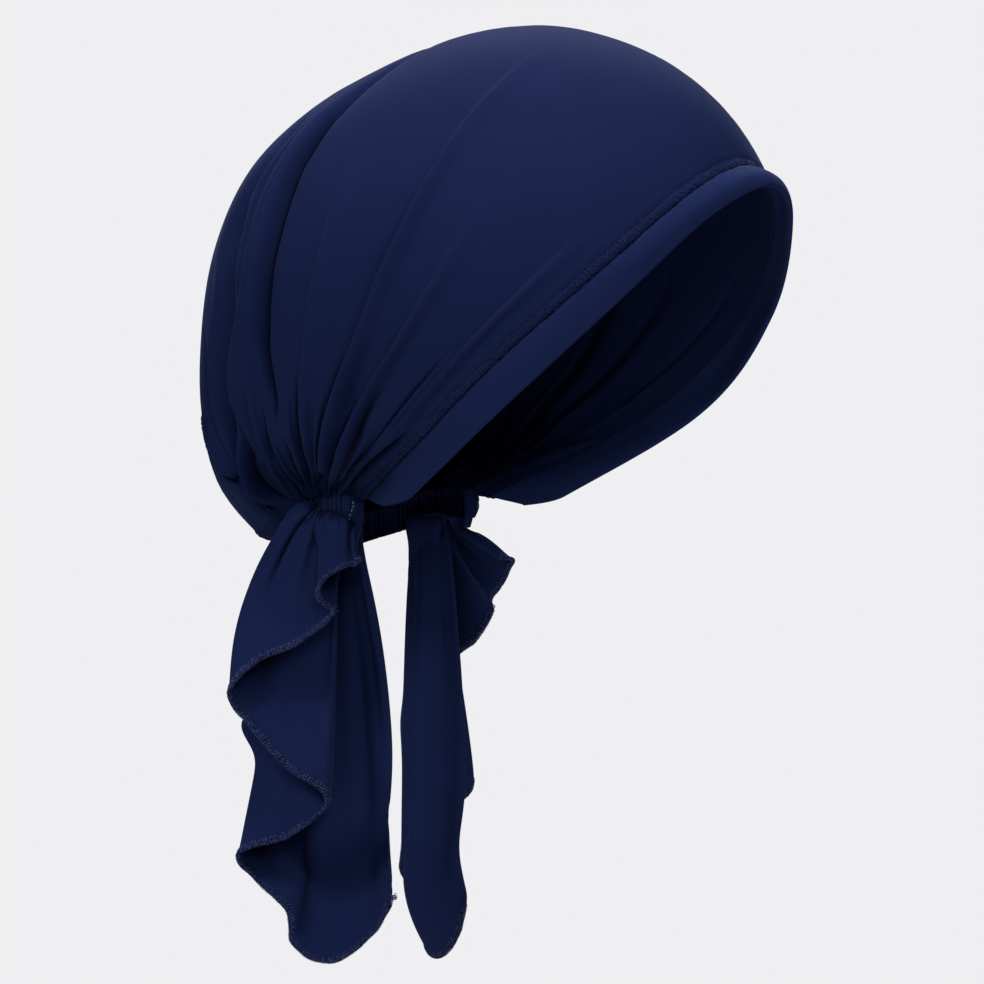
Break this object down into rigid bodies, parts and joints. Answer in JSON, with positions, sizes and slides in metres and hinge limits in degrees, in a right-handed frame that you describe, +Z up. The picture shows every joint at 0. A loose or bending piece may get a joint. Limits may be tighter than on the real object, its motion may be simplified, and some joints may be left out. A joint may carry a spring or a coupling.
{
  "type": "pre-tied headscarf",
  "caption": "Soft navy jersey head wrap in its worn form, with a turned face hem, gathered sides, a ruched nape casing and cascading tails.",
  "frame": {"origin": "inside of the crown's top, where the top of the head sits", "axes": "+Z up, the face looks along -Y and the nape is at +Y, the wearer's right is -X"},
  "size_m": [0.1614, 0.2203, 0.3295],
  "materials": {
    "jersey": "matte fine navy knit with a faint sheen",
    "hem_jersey": "turned double jersey, twin stitched",
    "casing_jersey": "ruched jersey over elastic",
    "tail_jersey": "single jersey with an overlocked edge"
  },
  "bodies": {
    "root": {"crown": "jersey", "face_hem": "hem_jersey", "nape_casing": "casing_jersey", "right_tail": "tail_jersey", "left_tail": "tail_jersey"}
  },
  "joints": []
}
